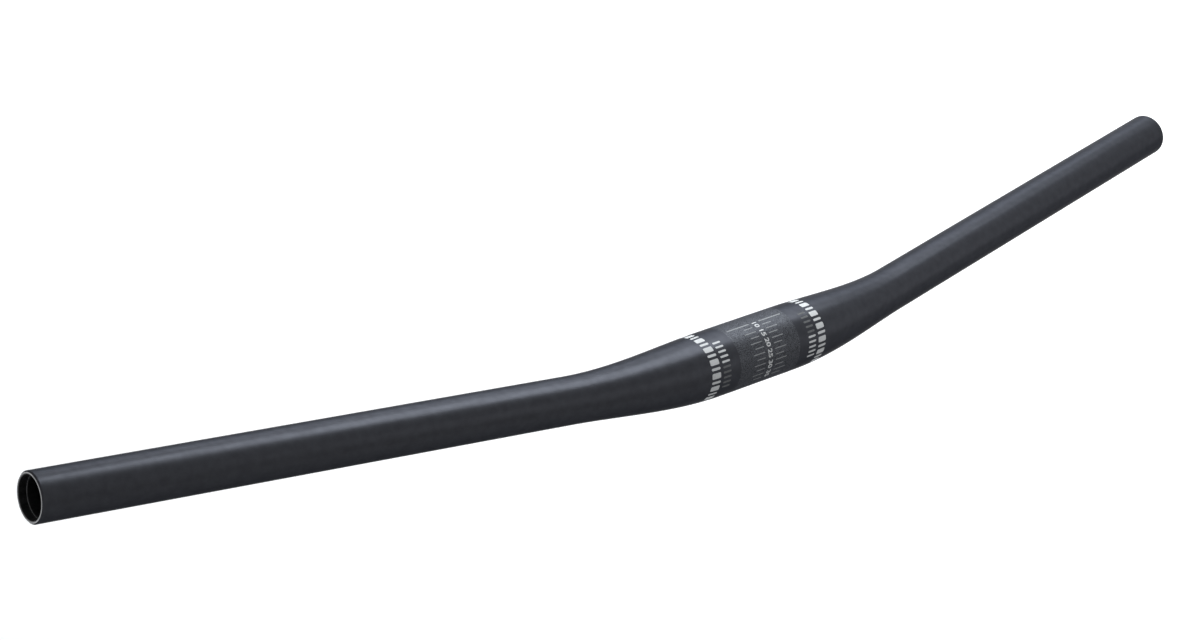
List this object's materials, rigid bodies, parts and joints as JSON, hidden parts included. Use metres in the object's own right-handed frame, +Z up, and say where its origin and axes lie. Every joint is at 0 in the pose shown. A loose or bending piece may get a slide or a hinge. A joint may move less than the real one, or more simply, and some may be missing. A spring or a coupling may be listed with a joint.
{
  "type": "flat handlebar",
  "caption": "Flat bicycle handlebar: a butted metal tube, thick in the stem clamp, swept back and tapered to straight grip ends that are open, with a bare machined rim.",
  "frame": {"origin": "centre of the stem clamp, on its axis", "axes": "+X along the clamp axis to the rider's right, the ends sweep back towards +Y and +Z is up"},
  "size_m": [0.7632, 0.0758, 0.0318],
  "materials": {
    "handlebar": "satin black, fine grain, bare metal at the end rims"
  },
  "bodies": {
    "root": {"handlebar": "handlebar"}
  },
  "joints": []
}
